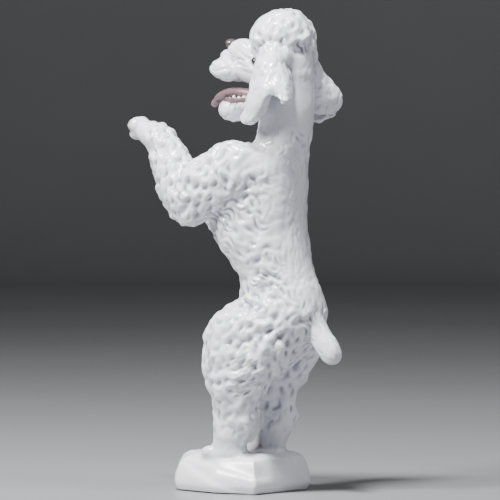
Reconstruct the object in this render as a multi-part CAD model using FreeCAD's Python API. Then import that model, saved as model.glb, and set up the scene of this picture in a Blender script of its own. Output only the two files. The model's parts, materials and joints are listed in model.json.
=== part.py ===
import FreeCAD, Part
import math
import os

# Porcelain poodle begging on a rock plinth, built from the sections a potter casts and
# joins with slip before glazing.  Millimetres.  +Z is up, the dog faces -Y, its left
# side is +X, and the origin is the centre of the plinth's flat underside.

# Plinth
PLINTH_HEIGHT = 20.5
PLINTH_SHOULDER = 17.0
PLINTH_TOP_INSET = 3.0
PLINTH_BEVEL_INSET = 8.0
PLINTH_CORNERS = [(24, 25), (-21, 29.5), (-28, 6), (-24, -23), (-5, -36), (8, -37), (21.5, -26), (27.5, 1)]
PLINTH_WALL = 5.0
VENT_RADIUS = 1.5
VENT_Y = -14.0
VENT_START = -1.0

# Body
WALL = 4.5
WAIST_Z = 106.0
NECK_BASE_Z = 186.0
RUMP = [
    (0, 26, WAIST_Z, 20.5, 23),
    (0, 26.5, 98, 24, 24.5),
    (0, 23, 88, 26, 25.5),
    (0, 18, 77, 25, 24),
    (0, 13, 66, 20, 17),
    (0, 11, 60, 13, 10),
]
TORSO = [
    (0, 26, WAIST_Z, 20.5, 23),
    (0, 24, 113, 19.5, 21.5),
    (0, 20.5, 121, 20.5, 21.8),
    (0, 14.8, 130, 23, 25.3),
    (0, 11, 141, 24.5, 27),
    (0, 10, 153, 25, 27.5),
    (0, 11, 165, 25, 27.3),
    (0, 15, 175, 22.5, 23.5),
    (0, 22, 183, 17, 17.5),
    (0, 25.5, NECK_BASE_Z, 15.3, 15.3),
]
NECK = [
    (0, 25.5, NECK_BASE_Z, 15.3, 15.3),
    (0, 28, 194, 14.6, 15),
    (0, 29, 203, 14.2, 16),
    (0, 28, 212, 14, 17),
    (0, 27, 220, 13, 16),
]

# Hind legs: sections of the left one; the right one's hock and paw stand further back.
THIGH = [
    (9, 22, 103, 11, 19),
    (12.5, 16.5, 95, 14.5, 24),
    (14, 13, 85, 15.5, 26.5),
    (14.5, 12.5, 75, 16, 27),
    (15, 10.5, 66, 15, 24),
    (15.5, 8.5, 58, 13.5, 19.5),
    (16, 7.5, 52, 12, 16.5),
]
SHANK = [
    (16, 7, 45, 10, 14.2),
    (16, 7, 38, 9.3, 13),
    (16, 5, 31, 8.8, 12.2),
    (16, 2.5, 25, 9, 11.8),
    (16, 1.5, 16, 9.6, 12.2),
]
RIGHT_LEG_BACK = 3.5
HIND_PAW_CENTRE = (16.5, -4, 21.5)
HIND_PAW_RADII = (9, 11.5, 5.5)
RIGHT_PAW_BACK = 5.0
SIDE_BOX = 150.0

# Tail: a docked stub
TAIL_RADIUS = 5.3
TAIL_ROOT = (0, 40, 98)
TAIL_TIP = (0, 56.4, 75.2)

# Forelegs: centre, half sizes across and along the section, and lean of the section
LEFT_UPPER_ARM = [
    (17, 22, 170, 8, 11, 90),
    (19.5, 12, 169, 11.5, 17, 90),
    (21, 2, 167, 12.5, 18.5, 90),
    (22.5, -9, 162.5, 12.5, 19, 90),
    (24, -20, 157, 11.5, 15.5, 90),
    (24, -27, 154.5, 8, 10, 90),
]
LEFT_FOREARM = [
    (24, -17, 153, 11.5, 12.5, 25),
    (23, -23, 165, 10.5, 12.3, 30),
    (21.5, -29.5, 175, 9.8, 11, 38),
    (20, -37, 184, 8.6, 9, 50),
    (18.5, -46.3, 189.5, 7, 7.3, 75),
    (17.5, -53.7, 191.5, 7, 6.6, 85),
    (16.8, -59, 192.6, 7, 6.6, 80),
    (16.7, -62, 193.0, 5.2, 4.8, 78),
]
RIGHT_UPPER_ARM = [
    (-17, 22, 168, 8, 11, 90),
    (-19.5, 12, 165, 11.5, 15.5, 90),
    (-20.5, 2, 161, 12, 16.5, 90),
    (-21.5, -12, 153, 11.5, 15, 90),
    (-21, -26, 148, 10.5, 12, 90),
    (-20.5, -34.5, 147.5, 6.5, 7.5, 90),
]
RIGHT_FOREARM = [
    (-21, -25, 147, 9.5, 10, 40),
    (-20, -32, 156.5, 9.3, 10, 45),
    (-18.5, -38, 164, 8.5, 9, 50),
    (-17, -44, 169.5, 7.5, 8, 55),
    (-16, -49.5, 173, 6.5, 6.6, 65),
    (-15, -55, 175.5, 6.8, 6.3, 70),
    (-14.5, -59, 177, 6.6, 6.2, 65),
    (-14.4, -61.7, 178.3, 4.8, 4.4, 65),
]

# Head
SKULL_CENTRE = (0, 26.5, 223.5)
SKULL_RADII = (15.5, 19, 17)
TOPKNOT_CENTRE = (0, 26.6, 241.8)
TOPKNOT_RADII = (17.8, 17.8, 17.9)
MUZZLE = [
    (0, 15, 223, 9.5, 11.5, 90),
    (0, 8, 225.3, 9.6, 10.4, 84),
    (0, 1.5, 227.4, 10.8, 9.6, 78),
    (0, -4.5, 228.8, 12.4, 9.8, 72),
    (0, -9.5, 228.6, 11.8, 8.6, 68),
    (0, -13.2, 227.2, 7.5, 5.2, 66),
]
FACE_PITCH = 20.0
NOSE_CENTRE = (0, -9.2, 237.6)
NOSE_RADII = (3.1, 2.7, 2.6)
JAW = [
    (0, 17, 210.5, 9, 6.5, 90),
    (0, 8, 208.3, 8.2, 4.2, 90),
    (0, 0, 207.3, 7.4, 3.8, 90),
    (0, -7, 207, 6, 3.4, 90),
]
BEARD_CENTRE = (0, -4.8, 203.8)
BEARD_RADII = (8.3, 8.8, 6.6)
TONGUE = [
    (0, 10, 212.3, 4.8, 1.7, 88),
    (0, 0, 213.2, 5.3, 1.9, 92),
    (0, -9, 213.4, 5.5, 1.9, 100),
    (0, -14.5, 211.6, 5.2, 1.8, 125),
    (0, -17.5, 207.3, 4.4, 1.6, 160),
    (0, -18.2, 204.8, 2.6, 1.0, 172),
]
GUM_Z = 210.9
GUM_HALF_WIDTH = 6.2
GUM_FRONT_Y = -5.0
GUM_BACK_Y = 4.5
GUM_RADIUS = 1.1
GUM_STEP = 15
TOOTH_HEIGHT = 2.8
TOOTH_RADIUS = 0.75
TOOTH_TIP_SHARE = 0.35
TOOTH_TURNS = (-48, -16, 16, 48)

# Ears: a hanging leaf, thick walled and hollowed towards the neck
EAR = [
    (13, 25, 237, 3.5, 8),
    (16.5, 25, 229, 4.6, 11.5),
    (19.8, 26.5, 219, 5.6, 15),
    (21.5, 28.5, 210, 6.2, 17),
    (21.5, 25, 202, 5.6, 12.5),
    (21, 20, 196, 3.8, 7),
]
EAR_DISH_CENTRE = (13.5, 33, 205)
EAR_DISH_RADII = (7.5, 11, 13)

POINTS_PER_RING = 12


def ring(x, y, z, half_x, half_y, lean=0.0):
    """Closed oval; lean turns it from level (0) to facing forwards (90)."""
    tilt = math.radians(lean)
    points = []
    for i in range(POINTS_PER_RING):
        turn = 2 * math.pi * i / POINTS_PER_RING
        across = half_x * math.cos(turn)
        along = half_y * math.sin(turn)
        points.append(
            FreeCAD.Vector(x + across, y + along * math.cos(tilt), z + along * math.sin(tilt))
        )
    curve = Part.BSplineCurve()
    curve.interpolate(Points=points, PeriodicFlag=True)
    return Part.Wire([curve.toShape()])


def loft(rings):
    """Solid with flat ends through the rings."""
    return Part.makeLoft([ring(*r) for r in rings], True)


def other_side(rings, back=0.0):
    """The same rings on the other side of the dog, moved back."""
    return [(-r[0], r[1] + back) + tuple(r[2:]) for r in rings]


def shrunk(rings, wall):
    """The rings of the hollow inside a wall, without the two end ones."""
    return [(x, y, z, a - wall, b - wall) for x, y, z, a, b in rings[1:-1]]


def ellipsoid(centre, radii, pitch=0.0):
    """Ellipsoid whose front is raised by pitch degrees."""
    scale = FreeCAD.Matrix()
    scale.scale(FreeCAD.Vector(*radii))
    ball = Part.makeSphere(1.0).transformGeometry(scale)
    ball.rotate(FreeCAD.Vector(0, 0, 0), FreeCAD.Vector(1, 0, 0), -pitch)
    ball.translate(FreeCAD.Vector(*centre))
    return ball


def mirrored(point, back=0.0):
    return (-point[0], point[1] + back, point[2])


def inset_corners(inset):
    """Plinth corners moved towards the middle."""
    moved = []
    for x, y in PLINTH_CORNERS:
        keep = 1 - inset / math.hypot(x, y)
        moved.append((x * keep, y * keep))
    return moved


def corner_wire(corners, z):
    points = [FreeCAD.Vector(x, y, z) for x, y in corners]
    return Part.makePolygon(points + points[:1])


def rock(inset, bottom, top):
    """Faceted block: leaning sides to a shoulder, then a bevel up to a flat top."""
    drop = PLINTH_HEIGHT - PLINTH_SHOULDER
    levels = [
        corner_wire(inset_corners(inset), bottom),
        corner_wire(inset_corners(inset + PLINTH_TOP_INSET), top - drop),
        corner_wire(inset_corners(inset + PLINTH_BEVEL_INSET), top),
    ]
    return Part.makeLoft(levels, True, True)


def plinth_block():
    return rock(0.0, 0.0, PLINTH_HEIGHT)


def make_plinth():
    hollow = rock(PLINTH_WALL, PLINTH_WALL, PLINTH_HEIGHT - PLINTH_WALL)
    vent = Part.makeCylinder(
        VENT_RADIUS, 2 * PLINTH_WALL, FreeCAD.Vector(0, VENT_Y, VENT_START), FreeCAD.Vector(0, 0, 1)
    )
    return plinth_block().cut(hollow).cut(vent)


def torso_block():
    return loft(TORSO)


def make_torso():
    return torso_block().cut(loft(shrunk(TORSO, WALL)))


def hips_block():
    return loft(RUMP)


def make_hips():
    return hips_block().cut(loft(shrunk(RUMP, WALL)))


def leg_block(side):
    """Thigh, hock and shank in one cast, trimmed where the thighs meet in the middle."""
    if side > 0:
        rings = THIGH + SHANK
    else:
        rings = other_side(THIGH) + other_side(SHANK, RIGHT_LEG_BACK)
    far_half = Part.makeBox(SIDE_BOX, 2 * SIDE_BOX, 2 * SIDE_BOX)
    far_half.translate(FreeCAD.Vector(-SIDE_BOX if side > 0 else 0, -SIDE_BOX, 0))
    return loft(rings).cut(far_half)


def make_hind_leg(side):
    return largest(leg_block(side).cut(plinth_block()).cut(hips_block()).cut(torso_block()))


def make_hind_paw(side):
    centre = HIND_PAW_CENTRE
    if side < 0:
        centre = mirrored(centre, RIGHT_PAW_BACK)
    paw = ellipsoid(centre, HIND_PAW_RADII)
    return largest(paw.cut(leg_block(side)).cut(plinth_block()))


def make_neck():
    return loft(NECK).cut(skull_block())


def skull_block():
    return ellipsoid(SKULL_CENTRE, SKULL_RADII)


def make_skull():
    inner = [r - WALL for r in SKULL_RADII]
    return skull_block().cut(ellipsoid(SKULL_CENTRE, inner))


def topknot_block():
    return ellipsoid(TOPKNOT_CENTRE, TOPKNOT_RADII)


def make_topknot():
    return topknot_block().cut(skull_block())


def muzzle_block():
    """Bridge, upper lip and moustache in one tapering form."""
    return loft(MUZZLE)


def make_muzzle():
    muzzle = muzzle_block().cut(skull_block()).cut(topknot_block())
    return largest(muzzle.cut(loft(NECK)))


def make_nose():
    nose = ellipsoid(NOSE_CENTRE, NOSE_RADII, FACE_PITCH)
    return largest(nose.cut(muzzle_block()))


def jaw_block():
    """Lower jaw with its tuft of beard."""
    return loft(JAW).fuse(ellipsoid(BEARD_CENTRE, BEARD_RADII))


def make_lower_jaw():
    return largest(jaw_block().cut(skull_block()).cut(loft(NECK)).cut(muzzle_block()))


def gum_path_point(turn):
    """Point of the U-shaped gum; turn runs from -90 to 90 degrees round the front."""
    angle = math.radians(turn)
    reach = GUM_BACK_Y - GUM_FRONT_Y
    x = GUM_HALF_WIDTH * math.sin(angle)
    y = GUM_BACK_Y - reach * math.cos(angle)
    return FreeCAD.Vector(x, y, GUM_Z)


def gum_block():
    """Gum ridge with four small teeth standing on it."""
    points = [gum_path_point(turn) for turn in range(-90, 91, GUM_STEP)]
    spine = Part.BSplineCurve()
    spine.interpolate(points)
    path = Part.Wire([spine.toShape()])
    profile = Part.Wire([Part.makeCircle(GUM_RADIUS, points[0], spine.tangent(0)[0])])
    ridge = path.makePipeShell([profile], True, True)
    for turn in TOOTH_TURNS:
        foot = gum_path_point(turn)
        tooth = Part.makeCone(TOOTH_RADIUS, TOOTH_RADIUS * TOOTH_TIP_SHARE, TOOTH_HEIGHT, foot)
        ridge = ridge.fuse(tooth)
    return ridge


def make_lower_teeth():
    return largest(gum_block().cut(jaw_block()))


def make_tongue():
    tongue = loft(TONGUE).cut(jaw_block()).cut(gum_block())
    return largest(tongue.cut(skull_block()).cut(muzzle_block()))


def ear_block(side):
    rings = EAR if side > 0 else other_side(EAR)
    centre = EAR_DISH_CENTRE if side > 0 else mirrored(EAR_DISH_CENTRE)
    return loft(rings).cut(ellipsoid(centre, EAR_DISH_RADII))


def make_ear(side):
    ear = ear_block(side).cut(skull_block()).cut(topknot_block()).cut(loft(NECK))
    return largest(ear.cut(jaw_block()))


def upper_arm_block(side):
    return loft(LEFT_UPPER_ARM if side > 0 else RIGHT_UPPER_ARM)


def make_upper_arm(side):
    return largest(upper_arm_block(side).cut(torso_block()).cut(loft(NECK)))


def make_forearm(side):
    """Forearm, wrist and blunt paw."""
    rings = LEFT_FOREARM if side > 0 else RIGHT_FOREARM
    return largest(loft(rings).cut(upper_arm_block(side)))


def make_tail():
    root = FreeCAD.Vector(*TAIL_ROOT)
    tip = FreeCAD.Vector(*TAIL_TIP)
    stub = Part.makeCylinder(TAIL_RADIUS, root.distanceToPoint(tip), root, tip - root)
    end = Part.makeSphere(TAIL_RADIUS, tip)
    tail = stub.fuse(end).cut(hips_block()).cut(torso_block())
    return largest(tail.cut(leg_block(1)).cut(leg_block(-1)))


def largest(shape):
    """The biggest solid of a shape, dropping any sliver a cut leaves."""
    return max(shape.Solids, key=lambda solid: solid.Volume)


def build_all():
    return {
        "plinth": make_plinth(),
        "left_hind_leg": make_hind_leg(1),
        "right_hind_leg": make_hind_leg(-1),
        "left_hind_paw": make_hind_paw(1),
        "right_hind_paw": make_hind_paw(-1),
        "hips": make_hips(),
        "tail": make_tail(),
        "torso": make_torso(),
        "neck": make_neck(),
        "left_upper_arm": make_upper_arm(1),
        "right_upper_arm": make_upper_arm(-1),
        "left_forearm": make_forearm(1),
        "right_forearm": make_forearm(-1),
        "skull": make_skull(),
        "topknot": make_topknot(),
        "left_ear": make_ear(1),
        "right_ear": make_ear(-1),
        "muzzle": make_muzzle(),
        "nose": make_nose(),
        "lower_jaw": make_lower_jaw(),
        "lower_teeth": make_lower_teeth(),
        "tongue": make_tongue(),
    }


os.makedirs("parts", exist_ok=True)
for name, shape in build_all().items():
    solid = largest(shape)
    print(name, solid.isValid(), len(shape.Solids), round(solid.Volume), flush=True)
    solid.exportStep("parts/" + name + ".step")
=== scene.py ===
import json
import math

import bpy
import numpy as np
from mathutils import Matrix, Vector, kdtree


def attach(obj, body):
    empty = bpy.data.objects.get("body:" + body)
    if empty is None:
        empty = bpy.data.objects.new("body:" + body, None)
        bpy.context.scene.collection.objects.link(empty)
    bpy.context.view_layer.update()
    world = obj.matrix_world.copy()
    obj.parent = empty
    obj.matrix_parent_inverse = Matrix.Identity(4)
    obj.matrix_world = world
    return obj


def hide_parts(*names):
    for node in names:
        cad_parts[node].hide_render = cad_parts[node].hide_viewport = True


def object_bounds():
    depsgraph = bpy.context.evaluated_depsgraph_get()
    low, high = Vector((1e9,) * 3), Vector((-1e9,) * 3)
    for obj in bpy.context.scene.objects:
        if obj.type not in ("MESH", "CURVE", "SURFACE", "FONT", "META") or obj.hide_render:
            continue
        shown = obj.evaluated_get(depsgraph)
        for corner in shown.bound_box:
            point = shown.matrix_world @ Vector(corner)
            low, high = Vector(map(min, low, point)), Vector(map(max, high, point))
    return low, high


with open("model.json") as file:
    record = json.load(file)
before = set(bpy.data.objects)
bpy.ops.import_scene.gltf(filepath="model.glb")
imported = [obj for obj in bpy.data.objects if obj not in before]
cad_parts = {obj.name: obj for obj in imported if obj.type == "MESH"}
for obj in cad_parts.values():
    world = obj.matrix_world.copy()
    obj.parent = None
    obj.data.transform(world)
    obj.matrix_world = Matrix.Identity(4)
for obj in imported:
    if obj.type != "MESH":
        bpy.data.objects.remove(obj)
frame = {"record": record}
cad_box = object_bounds()

# White glazed porcelain poodle begging on a rock plinth.  Shapes are worked out in design
# millimetres (+Z up, the dog faces -Y, origin at the middle of the plinth's underside) and
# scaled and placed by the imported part: its resting face and its height.
DESIGN_HEIGHT = 259.7
BASE = np.array(frame["record"]["mounts"][0]["pos_m"])
UNIT = (cad_box[1].z - cad_box[0].z) / DESIGN_HEIGHT

LEFT, RIGHT = 1, -1
COARSE_VOXEL = 1.2
HEAD_VOXEL = 0.7
FINE_VOXEL = 0.55
PULL_IN = 0.6
PUSH_OUT = 0.55
random = np.random.default_rng(seed=7)

# ---------------- body sections
# Each ring is x, y, z, half width, half depth and lean in degrees: 0 is a level ring,
# 90 one that faces forwards.
TORSO = [
    (0, 26, 100, 21.5, 23.5, 0),
    (0, 26, 106, 20.3, 22.8, 0),
    (0, 24, 113, 19.3, 21.5, 0),
    (0, 20.5, 121, 20.3, 21.8, 0),
    (0, 15, 130, 22.8, 25, 0),
    (0, 11.3, 141, 24, 26.5, 0),
    (0, 10.5, 153, 24.5, 27, 0),
    (0, 11.5, 165, 24.5, 26.7, 0),
    (0, 15.5, 175, 22, 23, 0),
    (0, 22, 183, 17, 17.5, 0),
    (0, 25.5, 188, 15, 15, 0),
]
RUMP = [
    (0, 26, 108, 19.5, 22, 0),
    (0, 26.3, 98, 23.5, 24, 0),
    (0, 23, 88, 25.5, 25, 0),
    (0, 18, 77, 24.5, 23.5, 0),
    (0, 13, 66, 19.5, 16.5, 0),
    (0, 11, 61, 12.5, 9.5, 0),
]
NECK = [
    (0, 25, 180, 15.3, 15, 0),
    (0, 25.6, 186, 14.9, 14.9, 0),
    (0, 27.6, 194, 14.4, 14.8, 0),
    (0, 28.6, 203, 14, 15.6, 0),
    (0, 27.6, 212, 14, 16.8, 0),
    (0, 27, 222, 14.3, 17.2, 0),
    (0, 26.8, 234, 14.3, 17.2, 0),
]
LEG = [
    (8, 22, 104, 9, 17, 0),
    (12.5, 16.5, 95, 14.2, 23.6, 0),
    (14, 13, 85, 15.2, 26.2, 0),
    (14.5, 12.5, 75, 15.6, 26.6, 0),
    (15, 10.5, 66, 14.8, 23.6, 0),
    (15.5, 8.5, 58, 13.2, 19.2, 0),
    (16, 7.5, 52, 11.6, 16.2, 0),
    (16, 6.8, 45, 9.8, 13.8, 0),
]
LEFT_SHANK = [
    (15.8, 6.4, 38.5, 8.9, 13.2, 0),
    (15.6, 4.4, 33, 8.4, 11.8, 0),
    (15.2, 2.6, 27, 7.9, 9.9, 0),
    (15, 2.2, 22, 7.4, 9.6, 0),
    (15, 2.2, 16, 7.0, 9.2, 0),
]
RIGHT_SHANK = [
    (15.8, 12.2, 40, 9.0, 11.8, 0),
    (15.6, 12.4, 34, 8.4, 10.4, 0),
    (15.4, 8.6, 28, 8.2, 9.6, 0),
    (15.2, 6.6, 22, 8.0, 9.4, 0),
    (15.2, 6.6, 16, 7.6, 9.0, 0),
]
LEG_SPLIT_Z = 50.0
RIGHT_LEG_BACK = 3.0
PAW_BACK = 1.0
HIND_PAW = (15.4, -2.8, 20.9)
HIND_PAW_RADII = (7.6, 9.8, 4.2)
# The four toes of a paw, counted from its middle.  A gap lies between neighbours; toes further
# out reach less by the lag and stand lower by the drop.
TOES = (-1.5, -0.5, 0.5, 1.5)
HIND_TOE_GAP, HIND_TOE_REACH, HIND_TOE_LAG, HIND_TOE_UP = 3.7, 6.2, 1.3, 0.4
HIND_TOE_RADII = (2.3, 5.2, 3.6)
FORE_TOE_GAP, FORE_TOE_REACH, FORE_TOE_LAG = 3.5, 2.4, 0.6
FORE_TOE_UP, FORE_TOE_DROP = 2.6, 0.9
FORE_TOE_RADII = (1.85, 3.9, 3.7)
PALM_RADII = (6.3, 4.2, 6.5)
PADS_DOWN, PADS_REACH = 3.6, 1.8
PADS_RADII = (5.6, 3.6, 3.2)
LEFT_ARM = [
    (14, 24, 172, 8, 12, 90),
    (18.5, 13, 171, 11.2, 17.5, 90),
    (20.8, 2, 168.5, 12, 19, 90),
    (22.3, -9, 163.5, 12.2, 18.6, 90),
    (23.8, -19, 159, 11.2, 15.0, 90),
    (24, -25.5, 154.2, 8.6, 10.4, 90),
]
LEFT_FOREARM = [
    (24, -15.5, 147.6, 9.0, 8.8, 24),
    (23.6, -19.5, 156.0, 11, 12.8, 28),
    (23, -25.4, 165.5, 10.7, 13.2, 31),
    (21.5, -31.6, 175.6, 10, 11.8, 38),
    (20, -38.6, 185.2, 8.6, 9.8, 50),
    (18.5, -45.0, 191.0, 7.6, 8.4, 66),
    (17.5, -51.0, 192.6, 6.5, 6.6, 74),
    (16.8, -55.2, 194.8, 6.2, 6.4, 80),
]
RIGHT_ARM = [
    (-15, 22, 168, 8, 11, 90),
    (-19, 12, 165, 11.2, 15, 90),
    (-20.3, 2, 161, 11.7, 16, 90),
    (-21.3, -12, 153, 11.2, 14.6, 90),
    (-21, -26, 148, 10.2, 11.8, 90),
    (-20.5, -33, 147.5, 7.5, 8.5, 90),
]
RIGHT_FOREARM = [
    (-21, -24, 146, 9.2, 9.6, 38),
    (-20, -32, 156.5, 9.1, 9.8, 45),
    (-18.5, -38, 164, 8.3, 8.8, 50),
    (-17, -44, 169.5, 7.4, 7.8, 55),
    (-16, -49.5, 173, 6.4, 6.5, 65),
    (-15, -55, 175.5, 6.6, 6.1, 72),
    (-14.5, -58.0, 177.0, 6.0, 5.2, 72),
]
TAIL = [
    (0, 35, 100, 8.5, 9.0, 29),
    (0, 42, 94.5, 7.6, 7.6, 29),
    (0, 48.6, 87, 6.6, 6.6, 29),
    (0, 54.4, 79.6, 6.5, 6.4, 32),
    (0, 57.8, 74.8, 6.2, 6.1, 34),
]
SKULL = (0, 26.5, 223.5)
SKULL_RADII = (14.3, 17.8, 16.0)
TOPKNOT = (0, 26.6, 242.3)
TOPKNOT_RADII = (17.6, 17.6, 16.6)

# ---------------- face
MUZZLE = [
    (0, 15, 225, 10.5, 11, 85),
    (0, 7, 229.2, 8.8, 9.8, 78),
    (0, 0.5, 234.0, 7.4, 8.8, 70),
    (0, -5, 236.8, 5.6, 6.2, 64),
]
SNOUT = (0, -4.8, 230.0)
SNOUT_RADII = (7.4, 9.6, 8.4)
SNOUT_PITCH = 4.0
LIP = (0, 3.5, 225.8)
LIP_RADII = (9.2, 12.0, 6.2)
MOUSTACHE = (5.4, -6.2, 226.2)
MOUSTACHE_RADII = (7.0, 10.6, 6.2)
MOUSTACHE_PITCH = 6.0
FACE_PITCH = 24.0
JAW = [
    (0, 17, 209.5, 9, 7, 90),
    (0, 9, 207.8, 8.2, 4.6, 90),
    (0, 1, 206.9, 7.2, 3.9, 90),
    (0, -5, 206.5, 6, 3.6, 90),
]
BEARD = (0, -5.6, 204.9)
BEARD_RADII = (8.0, 8.4, 6.4)
CHEEK = (8.6, 19.5, 216.0)
CHEEK_RADII = (6.6, 7.6, 10.0)
# The swelling of the skull behind each ear, which carries it into the neck.
EAR_ROOT = (12.0, 34.0, 233.0)
EAR_ROOT_RADII = (5.0, 6.0, 7.0)
EYE = (10.3, 12.8, 230.8)
EYE_FACING = (0.78, -0.62, 0.08)
EYE_RADII = (1.5, 2.6, 1.9)
EYE_SUNK = 1.6
NOSE = (0, -7.0, 240.0)
NOSE_RADII = (3.9, 3.4, 2.9)
NOSTRIL = (1.6, -9.8, 240.8)
NOSTRIL_RADIUS, NOSTRIL_DEPTH = 0.9, 1.3
NOSE_SPLIT_WIDTH, NOSE_SPLIT_DEPTH = 0.35, 0.35
TONGUE = [
    (0, 10, 213.0, 5.6, 2.2, 90),
    (0, 3, 214.2, 5.7, 2.3, 90),
    (0, -5, 214.4, 5.7, 2.4, 90),
    (0, -11.5, 213.2, 5.5, 2.5, 72),
    (0, -15.4, 211.2, 5.0, 2.4, 45),
    (0, -17.3, 208.2, 3.9, 2.1, 20),
]
# Furrow of the tongue: its width, its depth and how far it is pushed back at the tip, then where
# the tongue's top begins, where it bends down, and over what stretches the furrow follows.
FURROW_WIDTH, FURROW_DEPTH, FURROW_PUSH = 1.1, 0.8, 0.4
TONGUE_TOP, TONGUE_BEND, TONGUE_TIP, TONGUE_PUSHED = (209, 213), -14, (-15, -18), (-12, -17)
# The gum ridge from the left corner of the mouth to the middle of the jaw.
GUM = [
    (7.4, 11, 210.8),
    (7.2, 5, 210.2),
    (6.6, -1, 209.8),
    (5.2, -6, 209.6),
    (2.6, -9.0, 209.4),
    (0, -9.9, 209.4),
]
GUM_RADII = (1.5, 1.5, 1.2)
TOOTH_COUNT = 14
TOOTH_LIFT = 1.2
TOOTH_RADII = (0.9, 1.1, 0.92)
FANG_PLACE = 3
FANG_RADII = (0.9, 1.1, 1.61)

# Each rib of an ear runs from the skull to the hem: its thickness, then points down it.
# The first is the front edge and the last the edge beside the neck; the front two are alike
# on both sides.
EAR_FRONT = [
    (5.0, [(11, 21.5, 229), (13.5, 21, 220), (17, 19.6, 211), (19.6, 14.0, 200)]),
    (7.4, [(14.5, 24, 235), (18.6, 24, 223), (22.0, 22.6, 210), (22.0, 19.2, 197)]),
]
LEFT_EAR = EAR_FRONT + [
    (6.6, [(16, 26, 238), (21.0, 27.5, 225), (25.0, 29, 212), (24.2, 29.0, 202)]),
    (4.6, [(16, 29, 240), (21.5, 31.5, 228), (26.5, 35, 217), (27.6, 36.8, 211.0)]),
    (5.0, [(14.5, 32.5, 239), (18, 36.5, 227), (22.8, 42, 216), (26.0, 44.8, 208)]),
    (4.2, [(9, 31, 237), (7.5, 35, 227), (8.5, 37, 217), (11.5, 38.2, 212)]),
]
RIGHT_EAR = EAR_FRONT + [
    (6.6, [(16, 26, 238), (21.0, 27.5, 225), (25.0, 29, 211), (24.0, 28.0, 198)]),
    (4.8, [(16, 29, 240), (21.5, 31.5, 228), (26.5, 35.5, 213), (23.8, 34.0, 198)]),
    (5.0, [(14.5, 32, 239), (17.6, 35.6, 227), (24.8, 44.8, 211), (23.6, 41.6, 202)]),
    (4.6, [(9, 31, 237), (7.5, 35, 227), (7.5, 37, 214), (9, 35, 203)]),
]
# Scoops pressed into the lower back of the ears: place, radius, depth.
EAR_SCOOPS = [((28.0, 40.0, 212.0), 3.4, 3.4), ((-24.8, 42.6, 203.6), 2.6, 2.4)]

# ---------------- plinth
PLINTH_CORNERS = [(24, 25), (-21, 29.5), (-28, 6), (-24, -23), (-5, -36), (8, -37.5), (21.5, -26),
                  (27.5, 1)]
# Height of each ring of the rock, how far it is drawn in, and the rise of the top's middle.
PLINTH_LEVELS = [(0.0, 1.2), (4.0, -1.0), (8.0, -0.8), (15.0, 1.4), (18.6, 3.2), (20.8, 7.5)]
PLINTH_CROWN = 0.4
# Slanting ledges on the left of the rock: height at y = 0, fall towards the front, depth.
LEDGES = [(6.1, 0.377, 0.8), (14.3, 0.229, 0.7)]
LEDGE_SOFTNESS = 1.9
LEDGED_SIDE = (8, 18)


def smooth_path(rows, steps):
    """Catmull-Rom through the rows, sampled finely."""
    rows = np.array(rows, float)
    ends = np.vstack([2 * rows[0] - rows[1], rows, 2 * rows[-1] - rows[-2]])
    out = []
    for i in range(len(rows) - 1):
        a, b, c, d = ends[i:i + 4]
        for t in np.linspace(0, 1, steps, endpoint=False):
            out.append(0.5 * (2 * b + (c - a) * t + (2 * a - 5 * b + 4 * c - d) * t ** 2
                              + (3 * b - a - 3 * c + d) * t ** 3))
    out.append(rows[-1])
    return np.array(out)


def ring_frame(row):
    """Centre and the two half axes of one ring."""
    lean = math.radians(row[5])
    across = np.array([row[3], 0, 0])
    along = np.array([0, math.cos(lean), math.sin(lean)]) * row[4]
    return np.array(row[:3]), across, along


DOME_ANGLES = np.radians([18, 36, 55, 75])


def domed_end(row, inner_row, cosines, sines, bulge):
    """Rings that round off one end of a tube, from the tube outwards, and the tip."""
    centre, across, along = ring_frame(row)
    inward = inner_row[:3] - row[:3]
    outward = -inward / np.linalg.norm(inward)
    size = min(np.linalg.norm(across), np.linalg.norm(along))
    rings = []
    for angle in DOME_ANGLES:
        middle = centre + outward * size * bulge * math.sin(angle)
        rings.append(middle + math.cos(angle) * (cosines * across + sines * along))
    return rings, centre + outward * size * bulge


def net_faces(around, count):
    """Faces over a stack of rings between two tips."""
    faces = []
    last = 1 + (count - 1) * around
    for j in range(around):
        k = (j + 1) % around
        faces.append((0, 1 + k, 1 + j))
        for p in range(1, last, around):
            faces.append((p + j, p + k, p + around + k, p + around + j))
        faces.append((last + around, last + j, last + k))
    return faces


def tube(rows, around=48, steps=6, bulge=0.6, power=2.0):
    """Closed mesh through the rings, with domed ends; a power above 2 squares the rings."""
    rows = smooth_path(rows, steps)
    turn = np.linspace(0, 2 * math.pi, around, endpoint=False)[:, None]
    cosines = np.sign(np.cos(turn)) * np.abs(np.cos(turn)) ** (2 / power)
    sines = np.sign(np.sin(turn)) * np.abs(np.sin(turn)) ** (2 / power)
    first_dome, first = domed_end(rows[0], rows[1], cosines, sines, bulge)
    last_dome, last = domed_end(rows[-1], rows[-2], cosines, sines, bulge)
    rings = first_dome[::-1]
    for row in rows:
        centre, across, along = ring_frame(row)
        rings.append(centre + cosines * across + sines * along)
    rings += last_dome
    return np.vstack([first, *rings, last]), net_faces(around, len(rings))


def ellipsoid(centre, radii, pitch=0.0, around=72, rows=40):
    """Closed ball; pitch raises its front, in degrees."""
    unit = [[0, 0, 1.0]]
    for a in np.linspace(0, math.pi, rows)[1:-1]:
        for t in np.linspace(0, 2 * math.pi, around, endpoint=False):
            unit.append([math.sin(a) * math.cos(t), math.sin(a) * math.sin(t), math.cos(a)])
    unit.append([0, 0, -1.0])
    points = np.array(unit) * radii
    p = math.radians(-pitch)
    y = points[:, 1] * math.cos(p) - points[:, 2] * math.sin(p)
    z = points[:, 1] * math.sin(p) + points[:, 2] * math.cos(p)
    points = np.column_stack([points[:, 0], y, z]) + centre
    outward = [face[:1] + face[:0:-1] for face in net_faces(around, rows - 2)]
    return points, outward


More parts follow.
